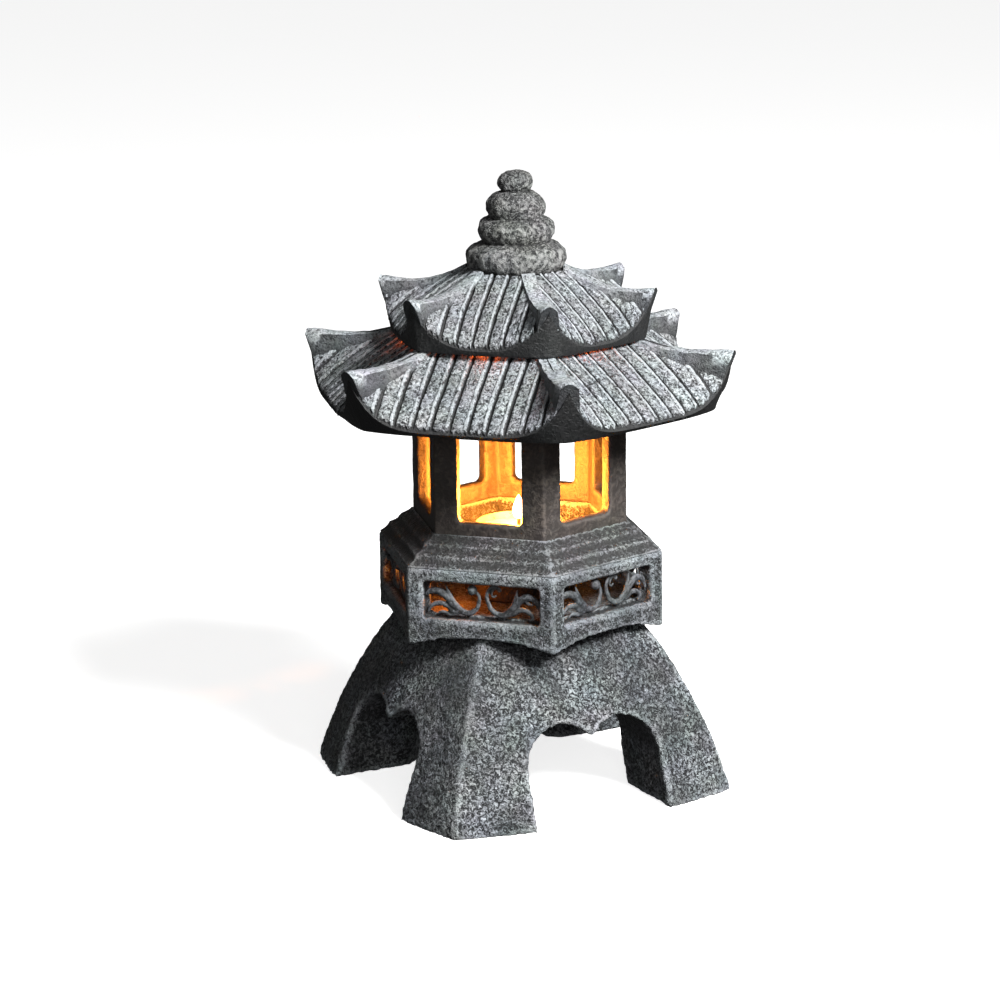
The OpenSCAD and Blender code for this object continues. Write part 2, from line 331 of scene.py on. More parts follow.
def cast_stone(name, deep, pale, grain_mm, cover, relief_mm, edge=0.5, drift=0.15, thinnest=0.45,
               pits=0.0, brush_and_shade_from_above=0.0):
    material, tree, where, shader = new_material(name)
    grain = add_node(tree, "ShaderNodeTexNoise", {
        "Vector": where, "Scale": 1 / (grain_mm * MM), "Detail": 3.0, "Roughness": 0.6,
        "Distortion": 1.0}, out="Fac")
    dust = add_node(tree, "ShaderNodeTexNoise", {
        "Vector": where, "Scale": 1 / (DUST_MM * MM), "Detail": 2.0}, out="Fac")
    tints = add_node(tree, "ShaderNodeTexNoise", {
        "Vector": where, "Scale": 1 / (DRIFT_MM * MM), "Detail": 2.0}, out="Color")
    worn = add_node(tree, "ShaderNodeAttribute", out="Fac", attribute_name="wear")
    amount = brushed(tree, where, worn, grain, cover, edge, thinnest, brush_and_shade_from_above)
    colour = add_node(tree, "ShaderNodeMix", {0: amount, 6: linear(deep), 7: linear(pale)}, out=2,
                      data_type="RGBA")
    colour = add_node(tree, "ShaderNodeMix", {0: drift, 6: colour, 7: tints}, out=2,
                      data_type="RGBA", blend_type="SOFT_LIGHT")
    faint = add_node(tree, "ShaderNodeMath", {0: dust, 1: 0.2}, out=0, operation="MULTIPLY")
    height = add_node(tree, "ShaderNodeMath", {0: grain, 1: faint}, out=0, operation="ADD", use_clamp=True)
    if pits:
        # Raised places are painted plain pale. On the boards these are the battens, where the pale is also a
        # painted highlight.
        raised_paint_and_highlight = add_node(tree, "ShaderNodeMapRange", {
            "Value": worn, "From Min": 0.25, "From Max": 0.6, "To Max": 0.6}, out="Result")
        colour = add_node(tree, "ShaderNodeMix", {0: raised_paint_and_highlight, 6: colour, 7: linear(pale)}, out=2,
                          data_type="RGBA")
        dark = pit_darkness(tree, where, worn, pits)
        colour = add_node(tree, "ShaderNodeMix", {0: dark, 6: colour, 7: linear(deep)}, out=2,
                          data_type="RGBA")
        depth = add_node(tree, "ShaderNodeMath", {0: dark, 1: 0.4}, out=0, operation="MULTIPLY")
        height = add_node(tree, "ShaderNodeMath", {0: height, 1: depth}, out=0, operation="SUBTRACT")
    bump = add_node(tree, "ShaderNodeBump", {"Height": height, "Distance": relief_mm * MM, "Strength": 1.0})
    rough = add_node(tree, "ShaderNodeMapRange", {
        "Value": amount, "To Min": 0.6, "To Max": 0.85}, out="Result")
    tree.links.new(colour, shader.inputs["Base Color"])
    tree.links.new(rough, shader.inputs["Roughness"])
    tree.links.new(bump.outputs["Normal"], shader.inputs["Normal"])
    print(name, len(tree.nodes), "nodes")
    return material


# %% Finishing a piece
def finish_piece(piece, material, body, nodes=()):
    piece.data.materials.clear()
    piece.data.materials.append(material)
    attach(piece, body)
    if nodes:
        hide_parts(*nodes)
    return piece


# %% [markdown]
# ## Foot, platform, collar and fire box
# These castings have the right shape in the frame already. What they lack is a moulded skin, so
# each is cast from a copy of its solid. The foot's underside is pressed back flat, so that it
# stands on the ground. The fire box is smoother: soot and handling have filled its grain.

# %% Foot
# Coarse cast stone, brushed until its raised grain is light: a bold salt-and-pepper surface.
BASE_STONE = cast_stone("pitted cast stone", "#131517", "#a2a8ab", grain_mm=1.35, cover=0.58,
                        relief_mm=2.2, edge=0.3, thinnest=0.3)
foot = cast(copy_of_node("base", "foot"), cell_mm=1.1, rounding=7, coarse_mm=0.9, fine_mm=0.8)
for vertex in foot.data.vertices:
    vertex.co.z = max(vertex.co.z, cad_low[2])
finish_piece(foot, BASE_STONE, "lantern", ["base"])

# %% Platform
# The same stone in a finer mould: even stipple on flat frames, with light edges.
PLATFORM_STONE = cast_stone("stippled cast stone", "#141617", "#91979a", grain_mm=1.3, cover=0.57,
                            relief_mm=2.2, edge=0.4)
platform = cast(copy_of_node("platform", "platform_ring"),
                cell_mm=0.95, rounding=3, coarse_mm=0.4, fine_mm=0.4)
finish_piece(platform, PLATFORM_STONE, "lantern", ["platform"])

# %% Collar
# Stone rubbed by hand at every lift: dark treads with a light line along each step.
COLLAR_STONE = cast_stone("rubbed dark stone", "#1a1a1a", "#7c7f80", grain_mm=1.4, cover=0.42,
                          relief_mm=1.0, edge=0.7, thinnest=0.3)
collar = cast(copy_of_node("stepped_collar", "collar_steps"),
              cell_mm=0.75, rounding=2, coarse_mm=0.3, fine_mm=0.2)
finish_piece(collar, COLLAR_STONE, "lantern", ["stepped_collar"])

# %% Fire box
# Stone filled with soot: smooth, warm and brown-black, so that candle light stands out on it.
FIRE_STONE = cast_stone("smooth sooted stone", "#2a2522", "#4d4640", grain_mm=2.4, cover=0.5,
                        relief_mm=0.5, edge=0.3, drift=0.1)
fire_box = cast(copy_of_node("fire_box", "fire_box_walls"),
                cell_mm=0.9, rounding=3, coarse_mm=0.6, fine_mm=0.15)
finish_piece(fire_box, FIRE_STONE, "lantern", ["fire_box"])

# %% Candle plinth
# Unpainted stone, as it leaves the mould: nearly black, so edges vanish into shade. Faces that don't look up
# are darker still, as painted shade.
ROOF_STONE = cast_stone("bare roof stone", "#0c0d0d", "#1d1e1f", grain_mm=1.6, cover=0.45,
                        relief_mm=0.8, edge=0.3, brush_and_shade_from_above=0.5)
# The plinth takes this nearly black stone as painted shade, so the cavity seen through the scroll panels
# stays dark.
stand = cast(copy_of_node("candle_stand", "candle_plinth"),
             cell_mm=0.9, rounding=3, coarse_mm=0.4, fine_mm=0.2)
finish_piece(stand, ROOF_STONE, "lantern", ["candle_stand"])

# %% Vent ring
vents = cast(copy_of_node("vent_collar", "vent_ring"), cell_mm=0.7, rounding=2, coarse_mm=0.2, fine_mm=0.15)
finish_piece(vents, FIRE_STONE, "roof", ["vent_collar"])


# %% [markdown]
# ## The shape of a roof
# Both roofs follow one rule: the boards fall from a crown to the eave, and near each hip the
# surface sweeps up into a horn. A height for any place on the roof then serves the body, the
# boards and the hips alike. Places on a side are given as a, the distance out from the axis to
# the side, and x, the distance along it.

# %% Roof rule
class Roof:
    def __init__(self, node, crown_mm, bend, eave_mm, horn_start_mm, horn_mm, grow, sharp, flat_mm):
        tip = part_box(node)[1]
        self.tip_r = tip.x
        self.eave_a = tip.x * FLAT
        self.crown_a, self.crown_z = (v * MM for v in crown_mm)
        self.eave_z = eave_mm * MM
        self.horn_start = horn_start_mm * MM
        self.rise = horn_mm * MM
        self.flat_a = flat_mm * MM
        self.bend, self.grow, self.sharp = bend, grow, sharp

    def board_z(self, a):
        share = max(0.0, (self.eave_a - a) / (self.eave_a - self.crown_a))
        return self.eave_z + (self.crown_z - self.eave_z) * share ** self.bend

    def sweep(self, a):
        return max(0.0, (a - self.horn_start) / (self.eave_a - self.horn_start)) ** self.grow

    def height(self, a, x):
        t = min(1.0, abs(x) / (a * math.tan(math.pi / SIDES)))
        return self.board_z(a) + self.rise * self.sweep(a) * t ** self.sharp


def on_side(a, x, z, k=0):
    turn = k * TURN - math.pi / 2
    return Vector((a * math.cos(turn) - x * math.sin(turn), a * math.sin(turn) + x * math.cos(turn), z))


# %% Two roofs
lower = Roof("lower_roof", crown_mm=(38, 203), bend=0.85, eave_mm=172.5, horn_start_mm=45, horn_mm=20.9,
             grow=1.6, sharp=5, flat_mm=29)
upper = Roof("upper_roof", crown_mm=(20, 227), bend=0.78, eave_mm=202, horn_start_mm=22, horn_mm=17,
             grow=2.2, sharp=2.8, flat_mm=20)
print("eaves at", round(lower.eave_a, 4), round(upper.eave_a, 4))


# %% [markdown]
# ## Roof bodies
# The body is the dark casting under the boards. A grid is wrapped round the lantern one way and
# round the section of the roof the other way: over the top, down the fascia, in along the soffit
# and up the flue. At the corners the fascia stays tall, so that each horn ends in a broad face.

# %% A shaped grid
# One grid whose corners are moved by a rule. Rolled up and welded, it becomes a roof shell, a
# sheet of boards, a hip or a flame.
def shaped_grid(name, around, along, place):
    start_clean()
    bpy.ops.mesh.primitive_grid_add(x_subdivisions=around, y_subdivisions=along, size=1)
    piece = bpy.context.object
    piece.name = name
    for vertex in piece.data.vertices:
        vertex.co = place(vertex.co.x + 0.5, vertex.co.y + 0.5)
    return weld(piece)


# %% One roof body
BODY_STEPS = 26
UNDER_BOARDS = 0.6 * MM


def roof_body(name, roof, under):
    rows, columns = BODY_STEPS, BODY_STEPS
    tops = [roof.flat_a + (roof.eave_a - roof.flat_a) * j / rows for j in range(rows + 1)]
    rings = len(tops) + len(under)

    def place(u, v):
        step = u * SIDES * columns
        k = min(SIDES - 1, int(step / columns + 1e-9))
        t = 2 * (step - k * columns) / columns - 1
        j = int(round(v * rings)) % rings
        if j < len(tops):
            a = tops[j]
            x = t * a * math.tan(math.pi / SIDES)
            return on_side(a, x, roof.height(a, x) - UNDER_BOARDS, k)
        a, z, pull = under[j - len(tops)]
        a -= pull * abs(t) ** 3
        return on_side(a, t * a * math.tan(math.pi / SIDES), z, k)

    return shaped_grid(name, SIDES * columns, rings, place)


def in_mm(*values):
    return tuple(v * MM for v in values)

# %% Undersides
# Each place has its distance out, its height, and how far it is pulled in at the corners.
fire_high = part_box("fire_box")[1]
seat_a = fire_high.x * FLAT + 0.3 * MM
lower_under = [in_mm(80.9, 170.6, 4.4), in_mm(80.2, 169.9, 4.2), in_mm(77, 169.8, 2), (seat_a, 170 * MM, 0),
               (seat_a, fire_high.z, 0), (37 * MM, fire_high.z, 0), in_mm(25, 198, 0), in_mm(19.5, 198, 0),
               in_mm(19.5, 208, 0)]
upper_under = [in_mm(52.4, 199.9, 2.4), in_mm(51.8, 199.3, 2.4), in_mm(48, 199.3, 0), in_mm(28, 217, 0),
               in_mm(7.06, 217, 0), in_mm(7.06, 227, 0)]
lower_body = roof_body("lower_roof_body", lower, lower_under)
upper_body = roof_body("upper_roof_body", upper, upper_under)
for body, node in ((lower_body, "lower_roof"), (upper_body, "upper_roof")):
    note_wear(body, 3)
    soft_shade(body, 35)
    finish_piece(body, ROOF_STONE, "roof", [node])
    print(body.name, len(body.data.polygons), "faces")


# %% [markdown]
# ## Boards
# Each face carries a row of boards that run straight down the slope. A board's section has a
# broad pitted face and a narrow raised batten along its right edge, with a groove to the next
# board. The batten's pale is partly a painted highlight, and the groove's dark is painted shade.
# One face's boards are one sheet: its columns follow the section from board to board, and its
# rows run down the slope and wrap underneath. It is then turned round the axis five times.

# %% Board section
# Places are shares of the pitch across, and millimetres of lift.
SECTION = [(-0.5, -0.9), (-0.44, -0.8), (-0.4, 0.7), (-0.3, 0.95), (-0.12, 1.05), (0.06, 1.0), (0.16, 0.85),
           (0.2, 0.75), (0.23, 1.3), (0.3, 1.45), (0.36, 1.4), (0.4, 1.1), (0.44, -0.8)]
BATTEN_LIFT = 1.1
FACE_LIFT = 0.7
print("section of", len(SECTION), "places")


# %% Closing and turning
def close_ends(piece):
    pick(piece)
    bpy.ops.object.mode_set(mode="EDIT")
    bpy.ops.mesh.select_all(action="SELECT")
    bpy.ops.mesh.fill_holes(sides=0)
    bpy.ops.mesh.normals_make_consistent(inside=False)
    bpy.ops.object.mode_set(mode="OBJECT")
    return piece


def join(pieces, name):
    start_clean()
    for piece in pieces:
        piece.select_set(True)
    bpy.context.view_layer.objects.active = pieces[0]
    bpy.ops.object.join()
    pieces[0].name = name
    return pieces[0]


def turned_copies(piece, name):
    copies = [piece]
    for k in range(1, SIDES):
        other = bpy.data.objects.new(f"{name}_{k}", piece.data.copy())
        bpy.context.scene.collection.objects.link(other)
        other.data.transform(Matrix.Rotation(k * TURN, 4, "Z"))
        copies.append(other)
    return join(copies, name)


# %% Place on a board
def rough_end(middle, across, pitch):
    slow = noise.noise(Vector((middle * 300, pitch * 900, 0)))
    return (slow * 0.9 + 0.35 * math.sin(across * 17 + middle * 900)) * MM


def on_board(roof, pitch, middle, across, a, lift):
    wander = noise.noise(Vector((middle * 700, a * 90, 3))) * 0.3 * MM
    side = middle + across * pitch + wander
    reach = a * math.tan(math.pi / SIDES)
    if abs(side) > reach:
        side = math.copysign(reach, side)
        lift = min(lift, 0.3)
    elif lift > 0.5:
        spot = Vector((side * 400, a * 400, middle * 900))
        lift += noise.noise(spot) * 0.3 + noise.noise(spot * 2.3) * 0.15
    return on_side(a, side, roof.height(a, side) + lift * MM)


# %% One sheet of boards
def board_sheet(name, roof, pitch_mm, end_mm, start_mm, stations):
    pitch, start = pitch_mm * MM, start_mm * MM
    count = 2 * math.ceil(roof.tip_r / 2 / pitch + 0.5) + 1
    columns = [((i - (count - 1) / 2) * pitch, part) for i in range(count) for part in SECTION]
    rows = [1 - (1 - j / stations) ** 1.3 for j in range(stations + 1)]
    last = len(rows) + 3

    def place(u, v):
        middle, (across, tall) = columns[round(u * (len(columns) - 1))]
        j = round(v * last)
        end = end_mm * MM + rough_end(middle, across, pitch)
        if j < len(rows):
            a, lift = start + (end - start) * rows[j], tall
        else:
            wrapped = [(end - 0.2 * MM, -1.8), (end - 5 * MM, -2.8), (start, -2.8), (start, tall)]
            a, lift = wrapped[j - len(rows)]
        return on_board(roof, pitch, middle, across, a, lift)

    piece = close_ends(shaped_grid(name, len(columns) - 1, last, place))
    # The boards' wear is their lift above the board face: it paints the battens pale, partly as a painted
    # highlight, and the grooves dark as painted shade.
    layer = piece.data.attributes.new("wear", "FLOAT", "POINT")
    for vertex, mark in zip(piece.data.vertices, layer.data):
        lift = (vertex.co.z - roof.height(-vertex.co.y, vertex.co.x)) / MM
        wear = (lift - BATTEN_LIFT) / 0.5 if lift > BATTEN_LIFT else (lift - FACE_LIFT) / 0.9
        mark.value = max(-1.0, min(1.0, wear))
    return turned_copies(piece, name)


# %% Boards
# Dry-brushed stone with grain and pits: pale boards with dark specks. The grooves are painted dark as shade,
# and the battens pale, partly as a painted highlight.
BOARD_STONE = cast_stone("dry-brushed boards", "#121314", "#a4a9ac", grain_mm=1.2, cover=0.72,
                         relief_mm=1.4, edge=0.25, thinnest=0.6, pits=0.9)
lower_boards = board_sheet("lower_roof_boards", lower, pitch_mm=8.0, end_mm=82.4, start_mm=29.5, stations=60)
upper_boards = board_sheet("upper_roof_boards", upper, pitch_mm=6.9, end_mm=52.7, start_mm=20.2, stations=44)
for piece in (lower_boards, upper_boards):
    soft_shade(piece, 45)
    finish_piece(piece, BOARD_STONE, "roof")
    print(piece.name, len(piece.data.polygons), "faces")


# %% [markdown]
# ## Hips
# A smooth, flat-topped band covers each corner between two boarded faces. It rises with the
# sweep of the roof, and its end swells into a rounded horn with a broad upright face. It is one
# tube: the grid goes round its section and along the hip. The section's places are a part, 0 to 2
# across the flat top and outside that down the sides, and a share of the way up.

# %% One hip
HIP_STATIONS = 56
HIP_SECTION = [(-1, -3), (-1, 0), (-0.5, 0.5), (0, 0.96), (0.3, 1), (0.65, 1.02), (1, 1.02), (1.35, 1.02),
               (1.7, 1), (2, 0.96), (2.5, 0.5), (3, 0), (3, -3), (1, -4)]
PAST_TIP = 0.8 * MM
HORN_ARCH = 3.4 * MM
HORN_SWELL = 0.9
HORN_LEAN = 0.45
NOSE = 0.05


def hip(name, roof, top_mm, foot_mm, thick_mm, start_mm):
    start = start_mm * MM

    def place(u, v):
        part, level_share = HIP_SECTION[round(u * len(HIP_SECTION)) % len(HIP_SECTION)]
        r = start + (roof.tip_r + PAST_TIP - start) * v
        crest = roof.height(r * FLAT, r * FLAT * math.tan(math.pi / SIDES))
        grown = 0.75 + 0.25 * v
        offset = part - 1
        if abs(offset) <= 1:
            y = offset * top_mm * MM * grown
        else:
            y = math.copysign(top_mm + (foot_mm - top_mm) * (abs(offset) - 1), offset) * MM * grown
        a = min(roof.eave_a - 0.5 * MM, r * FLAT + foot_mm * grown * MM * 0.5)
        x = min(a * math.tan(math.pi / SIDES), max(0.0, r * 0.5 - foot_mm * grown * MM * FLAT))
        foot = min(crest - 0.2 * MM, roof.height(a, x) + 0.2 * MM)
        nose = max(0.0, (v - 1 + NOSE) / NOSE)
        y *= math.sqrt(1 - 0.2 * nose * nose)
        top = crest + thick_mm * MM * (1 + HORN_SWELL * v ** 8) - 0.6 * MM * nose ** 2
        top -= HORN_ARCH * v ** 8 * (y / (foot_mm * MM)) ** 2
        z = foot + (top - foot) * level_share if level_share >= 0 else foot + level_share * MM
        r -= HORN_LEAN * (top - z) * v ** 16
        rough = noise.noise(Vector((r * 230, y * 230, z * 200))) * 0.35 * MM
        return Vector((r, y + rough, z + rough))

    return turned_copies(close_ends(shaped_grid(name, len(HIP_SECTION), HIP_STATIONS, place)), name)


# %% Hips
# Smooth stone brushed nearly all over: plain pale bands. Their ends, which don't look up, are dark: painted
# shade, and brush that didn't reach them.
HIP_STONE = cast_stone("smooth hip stone", "#1b1d1f", "#a2a7aa", grain_mm=1.3, cover=0.95,
                       relief_mm=0.9, edge=0.2, thinnest=0.75, pits=0.35, brush_and_shade_from_above=0.95)
lower_hips = hip("lower_roof_hips", lower, top_mm=4.3, foot_mm=5.3, thick_mm=1.6, start_mm=34)
upper_hips = hip("upper_roof_hips", upper, top_mm=3.8, foot_mm=4.7, thick_mm=1.4, start_mm=22)
for piece in (lower_hips, upper_hips):
    soft_shade(piece, 50)
    finish_piece(piece, HIP_STONE, "roof")
    print(piece.name, len(piece.data.polygons), "faces")

# %% [markdown]
# ## Finial
# Three pebble-like rings and a ball stand on the roof. A grid is rolled round the axis and drawn
# in and out by the outline, which a smooth curve carries from place to place. Slow noise makes
# the rings uneven, as if thrown by hand, and the stipple pits them.

# %% Finial outline
# Places are the distance out and the height, in millimetres, from the roof up.
OUTLINE = [(17.5, 226.6), (19.6, 228), (21.1, 230.2), (21.6, 233), (21, 235.6), (19, 237.6), (16.4, 238.9),
           (14.8, 239.6), (15.5, 241), (16.4, 243), (16.6, 245.2), (16, 247.2), (14.4, 248.9), (12.4, 249.8),
           (11.5, 250.3), (12.1, 251.6), (12.7, 253.6), (12.8, 255.8), (12, 257.8), (10.2, 259.6), (8, 260.8),
           (6.2, 261.4), (6.8, 262.5), (7.5, 264.2), (7.5, 266.2), (6.4, 268.2), (4.2, 269.5), (1.8, 269.95),
           (0, 270)]


def along_outline(share):
    place = share * (len(OUTLINE) - 1)
    i = min(int(place), len(OUTLINE) - 2)
    t = place - i
    p = [Vector(OUTLINE[max(0, min(len(OUTLINE) - 1, i + k))]) for k in (-1, 0, 1, 2)]
    return 0.5 * (2 * p[1] + (p[2] - p[0]) * t + (2 * p[0] - 5 * p[1] + 4 * p[2] - p[3]) * t * t
                  + (3 * p[1] - p[0] - 3 * p[2] + p[3]) * t ** 3)


# %% Finial
# Rough stone with a light brush: grey rings with dark pits and shade in every waist.
FINIAL_STONE = cast_stone("pitted finial stone", "#171818", "#8b8c8a", grain_mm=1.3, cover=0.58,
                          relief_mm=1.5, edge=0.3, drift=0.12, thinnest=0.6, pits=0.3)
finial_top = OUTLINE[-1][1]


def finial_place(u, v):
    r, z = (0.0, OUTLINE[0][1]) if v == 0 else along_outline(v)
    turn = 2 * math.pi * u
    spot = Vector((math.cos(turn) * r, math.sin(turn) * r, z))
    lump = noise.noise(spot * 0.14) * 0.7 + noise.noise(spot * 0.4) * 0.3
    r = max(0.0, r + lump * min(1.0, r / 5))
    tilt = noise.noise(Vector((math.cos(turn) * 1.4, math.sin(turn) * 1.4, z * 0.05)))
    z += tilt * 0.6 * min(1.0, (finial_top - z) / 10)
    return Vector((r * math.cos(turn), r * math.sin(turn), z)) * MM


finial = shaped_grid("finial_rings", 150, 170, finial_place)
note_wear(finial)
modify(finial, "DISPLACE", texture=FINE_CLOUD, texture_coords="LOCAL", strength=0.6 * MM)
soft_shade(finial, 60)
finish_piece(finial, FINIAL_STONE, "roof", ["finial"])
print(finial.name, len(finial.data.polygons), "faces")


# %% [markdown]
# ## Scroll panels
# Each opening in the platform holds two leaf scrolls, cut right through, so candle light shows
# between them. A scroll is modelled as a sculptor rolls clay: curved rolls, fat in the middle and
# thin at the ends, pressed together and smoothed into one skin.

# %% Rolls and a knob
def roll(points, widths_mm, flatten=0.75):
    start_clean()
    bpy.ops.curve.primitive_bezier_curve_add()
    strip = bpy.context.object
    curve = strip.data
    curve.splines.clear()
    spline = curve.splines.new("BEZIER")
    spline.bezier_points.add(len(points) - 1)
    for spot, point, width in zip(spline.bezier_points, points, widths_mm):
        spot.co = (point[0] * MM, 0, point[1] * MM)
        spot.handle_left_type = spot.handle_right_type = "AUTO"
        spot.radius = width
    curve.dimensions = "3D"
    curve.resolution_u = 10
    curve.bevel_depth = 0.5 * MM
    curve.bevel_resolution = 4
    curve.use_fill_caps = True
    bpy.ops.object.convert(target="MESH")
    strip = bpy.context.object
    strip.data.transform(Matrix.Scale(flatten, 4, Vector((0, 1, 0))))
    return strip


def knob(x, z, r):
    start_clean()
    bpy.ops.mesh.primitive_uv_sphere_add(segments=24, ring_count=14, radius=r * MM, location=in_mm(x, 0, z))
    ball = bpy.context.object
    ball.data.transform(ball.matrix_world)
    ball.matrix_world = Matrix.Identity(4)
    return ball


# %% Leaf scrolls
# Each roll has its places across and up the panel, and its width at each place, in millimetres.
LEFT_SCROLL = [
    ([(-5.0, 5.0), (-2.2, 3.2), (-1.9, -0.6), (-4.4, -4.6), (-8.6, -5.0), (-12.0, -2.4), (-14.6, 1.6),
      (-16.6, 6.4)], [1.2, 1.6, 1.9, 2.3, 2.8, 3.0, 2.2, 0.8]),
    ([(-10.4, -4.2), (-13.2, -2.0), (-16.2, 1.4), (-19.6, 3.4), (-23.0, 3.4), (-25.6, 1.6)],
     [2.6, 3.2, 3.4, 3.4, 2.8, 1.4]),
    ([(-9.6, -5.0), (-13.6, -4.6), (-16.2, -2.6), (-19.4, -1.8), (-22.6, -3.0), (-24.8, -6.0)],
     [2.2, 2.6, 2.6, 2.4, 2.0, 0.9]),
    ([(-10.0, -5.2), (-14.6, -6.4), (-18.4, -5.6), (-20.6, -6.8)], [1.8, 2.0, 1.6, 0.7])]
RIGHT_SCROLL = [
    ([(6.2, 3.4), (4.6, 2.6), (4.0, 4.6), (5.8, 6.4), (7.8, 5.4), (6.8, 6.8), (4.0, 6.8), (1.9, 4.0),
      (2.2, 0.0), (5.0, -4.2), (9.0, -5.2), (12.4, -2.8), (14.2, 1.0), (15.4, 6.6)],
     [0.9, 1.1, 1.2, 1.3, 1.2, 1.3, 1.5, 1.7, 2.0, 2.4, 2.8, 3.0, 2.2, 0.8]),
    ([(10.6, -4.2), (13.6, -1.6), (16.8, 1.8), (20.0, 3.4), (23.4, 2.0), (25.4, -2.2)],
     [2.6, 3.2, 3.4, 3.2, 2.6, 1.3]),
    ([(9.6, -5.0), (13.4, -4.2), (16.6, -2.6), (20.0, -3.0), (22.0, -5.6), (20.4, -6.8)],
     [2.2, 2.6, 2.4, 2.2, 1.8, 0.8]),
    ([(18.6, 2.6), (20.4, 0.6), (22.6, 0.2)], [1.8, 1.6, 0.8])]


# %% One panel
def scroll_panel():
    rolls = [roll(points, widths) for points, widths in LEFT_SCROLL + RIGHT_SCROLL]
    rolls.append(knob(-4.8, 5.0, 2.3))
    panel = join(rolls, "scroll")
    modify(panel, "REMESH", mode="VOXEL", voxel_size=0.32 * MM)
    modify(panel, "SMOOTH", factor=0.5, iterations=3)
    return panel


# %% Six panels
# Stone smoothed by hand before it cured: even grey leaves with a soft sheen.
SCROLL_STONE = cast_stone("smooth scroll stone", "#1b1d1e", "#62666a", grain_mm=1.6, cover=0.55,
                          relief_mm=0.3, drift=0.12)
PANELS = ["front", "front_right", "back_right", "back", "back_left", "front_left"]
panel_low, panel_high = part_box("scroll_panel_front")
panel_middle = Vector((0, panel_low.y + 1.2 * MM, (panel_low.z + panel_high.z) / 2))
master = scroll_panel()
master.data.transform(Matrix.Translation(panel_middle))
note_wear(master, 0.7)
soft_shade(master, 60)
for k, side in enumerate(PANELS):
    panel = bpy.data.objects.new(f"scroll_{side}", master.data.copy())
    bpy.context.scene.collection.objects.link(panel)
    panel.data.transform(Matrix.Rotation(k * TURN, 4, "Z"))
    finish_piece(panel, SCROLL_STONE, "lantern", [f"scroll_panel_{side}"])
print("scroll", len(master.data.polygons), "faces")
bpy.data.objects.remove(master)


# %% [markdown]
# ## Candle
# The tealight keeps the frame's solids: a pressed foil cup, wax and a wick. They are shown as
# they are and only get a finish.

# %% Foil
# Rolled aluminium foil, pressed: bright bare metal, dulled by fine crinkles.
foil, tree, where, shader = new_material("pressed aluminium foil")
crinkle = add_node(tree, "ShaderNodeTexNoise", {
    "Vector": where, "Scale": 1 / (3 * MM), "Detail": 2.0}, out="Fac")
colour = add_node(tree, "ShaderNodeMix", {0: crinkle, 6: linear("#c9cacb"), 7: linear("#dddee0")}, out=2,
                  data_type="RGBA")
rough = add_node(tree, "ShaderNodeMapRange", {
    "Value": crinkle, "From Min": 0.3, "From Max": 0.7, "To Min": 0.25, "To Max": 0.4}, out="Result")
dent = add_node(tree, "ShaderNodeBump", {"Height": crinkle, "Distance": 0.1 * MM}, out="Normal")
shader.inputs["Metallic"].default_value = 1.0
tree.links.new(colour, shader.inputs["Base Color"])
tree.links.new(rough, shader.inputs["Roughness"])
tree.links.new(dent, shader.inputs["Normal"])
print(foil.name, len(tree.nodes), "nodes")

# %% Wax
# Paraffin wax, poured: creamy and a little glossy. Light sinks in, so it glows near the flame.
wax, tree, where, shader = new_material("warm candle wax")
mottle = add_node(tree, "ShaderNodeTexNoise", {
    "Vector": where, "Scale": 1 / (6 * MM), "Detail": 2.0}, out="Fac")
colour = add_node(tree, "ShaderNodeMix", {0: mottle, 6: linear("#c9b380"), 7: linear("#d6c59a")}, out=2,
                  data_type="RGBA")
rough = add_node(tree, "ShaderNodeMapRange", {
    "Value": mottle, "From Min": 0.3, "From Max": 0.7, "To Min": 0.3, "To Max": 0.45}, out="Result")
tree.links.new(colour, shader.inputs["Base Color"])
tree.links.new(rough, shader.inputs["Roughness"])
shader.inputs["Subsurface Weight"].default_value = 0.4
shader.inputs["Subsurface Scale"].default_value = 4 * MM
shader.inputs["Subsurface Radius"].default_value = (1.0, 0.6, 0.3)
print(wax.name, len(tree.nodes), "nodes")

# %% Wick
# Braided cotton, charred: matt and nearly black, with brown where it hasn't burnt.
char, tree, where, shader = new_material("charred cotton wick")
braid = add_node(tree, "ShaderNodeTexNoise", {
    "Vector": where, "Scale": 1 / (0.6 * MM), "Detail": 2.0}, out="Fac")
colour = add_node(tree, "ShaderNodeMix", {0: braid, 6: linear("#120e0b"), 7: linear("#3a2a1c")}, out=2,
                  data_type="RGBA")
tree.links.new(colour, shader.inputs["Base Color"])
shader.inputs["Roughness"].default_value = 0.95
print(char.name, len(tree.nodes), "nodes")

# %% Finishes on the tealight
TEALIGHT = {"candle_cup": foil, "wick_tab": foil, "candle_wax": wax, "candle_wick": char}
for node, material in TEALIGHT.items():
    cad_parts[node].data.materials.clear()
    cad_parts[node].data.materials.append(material)
print("finished", ", ".join(TEALIGHT))

# %% [markdown]
# ## Flame
# A candle flame is a drop of glowing gas: round below, drawn to a point above, near white at its
# heart and orange at its foot and tip. A grid is rolled into that drop. It casts no shadow.

# %% Flame shape
FLAME_R = 2.7 * MM
FLAME_H = 11.5 * MM
flame_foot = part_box("candle_wick")[1].z - 2 * MM


def flame_place(u, v):
    turn = 2 * math.pi * u
    r = FLAME_R * math.sin(math.pi * v ** 0.62) ** 0.9 if 0 < v < 1 else 0.0
    return Vector((r * math.cos(turn), r * math.sin(turn), flame_foot + FLAME_H * v))


flame = shaped_grid("flame", 24, 24, flame_place)
soft_shade(flame, 60)
print(flame.name, len(flame.data.polygons), "faces")

